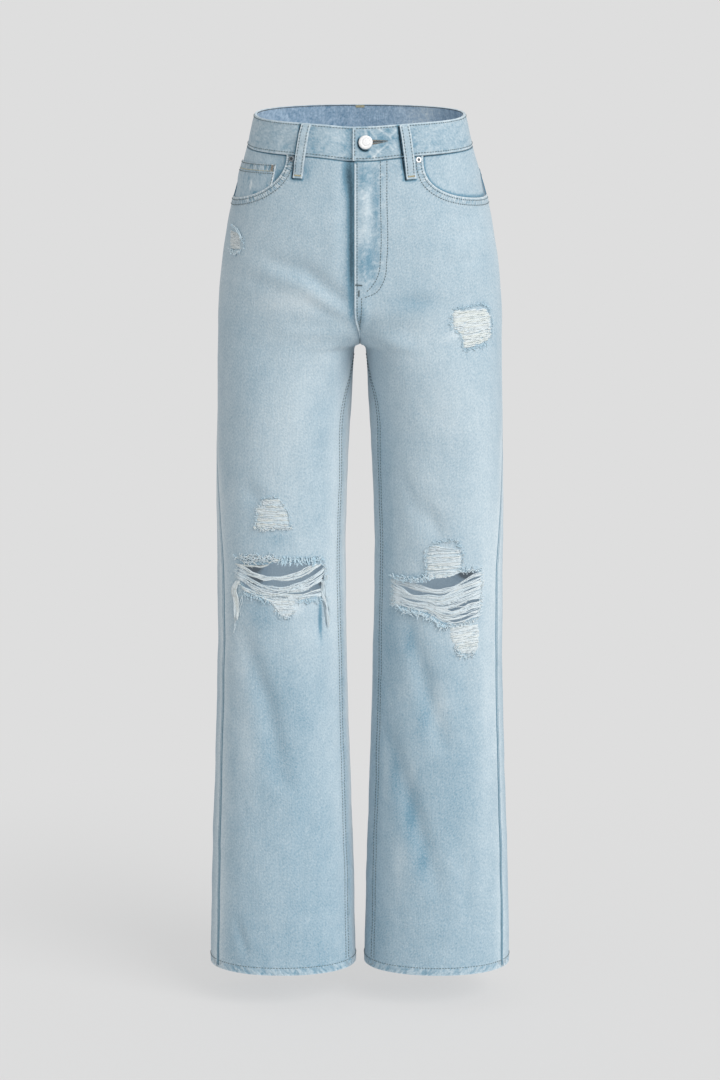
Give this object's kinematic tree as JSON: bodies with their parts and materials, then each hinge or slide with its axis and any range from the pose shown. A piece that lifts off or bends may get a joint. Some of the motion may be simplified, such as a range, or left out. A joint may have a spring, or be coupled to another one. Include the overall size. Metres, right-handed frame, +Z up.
{
  "type": "jeans",
  "caption": "Wide-leg denim jeans in worn shape, hollow with open waist and hems, torn across both knees, with pockets, belt loops and a shank button.",
  "frame": {"origin": "middle of the waist opening, level with the top of the waistband at the side seams, where the wearer holds the jeans up", "axes": "+Z up out of the waist opening, the front faces -Y and +X is the wearer's left"},
  "size_m": [0.3776, 0.2467, 1.0709],
  "materials": {
    "denim": "light stone-washed cotton twill, matt",
    "denim_trim": "light stone-washed cotton twill, folded and stitched, matt",
    "steel": "nickel-plated, satin"
  },
  "bodies": {
    "root": {"front_right": "denim", "front_left": "denim", "back_right": "denim", "back_left": "denim", "yoke_right": "denim", "yoke_left": "denim", "pocket_facing_right": "denim", "pocket_facing_left": "denim", "coin_pocket": "denim", "back_pocket_right": "denim", "back_pocket_left": "denim", "waistband": "denim_trim", "loop_front_right": "denim_trim", "loop_front_left": "denim_trim", "loop_back_right": "denim_trim", "loop_back_left": "denim_trim", "loop_back_centre": "denim_trim", "button": "steel", "rivet_right": "steel", "rivet_left": "steel"}
  },
  "joints": []
}
